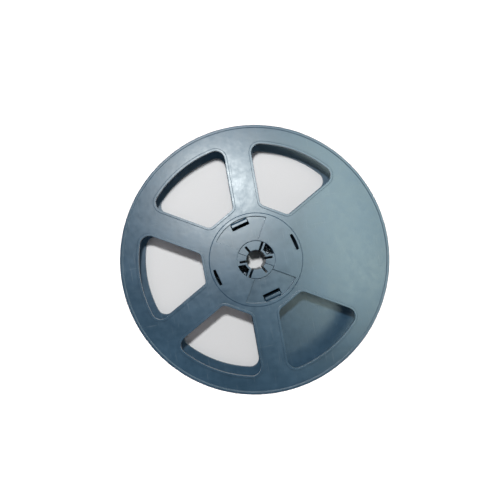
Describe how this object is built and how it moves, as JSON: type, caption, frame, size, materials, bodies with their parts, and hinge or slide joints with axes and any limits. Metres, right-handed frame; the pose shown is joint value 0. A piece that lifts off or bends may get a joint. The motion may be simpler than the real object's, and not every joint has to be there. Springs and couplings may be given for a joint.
{
  "type": "smd tape reel",
  "caption": "Empty moulded reel for surface-mount carrier tape: two snapped halves with windowed flanges, a round hub and a star-shaped arbor hole.",
  "frame": {"origin": "on the reel's axis, at the plane of the back half's outer face, which the reel rests on when it lies flat", "axes": "+Z along the axis towards the front half's outer face; +X from the axis to the middle of the front half's label panel"},
  "size_m": [0.178, 0.178, 0.0288],
  "materials": {
    "front_half_plastic": "satin slate-blue polystyrene, as moulded",
    "back_half_plastic": "satin slate-blue polystyrene, as moulded"
  },
  "bodies": {
    "root": {"front_half": "front_half_plastic", "back_half": "back_half_plastic"}
  },
  "joints": []
}
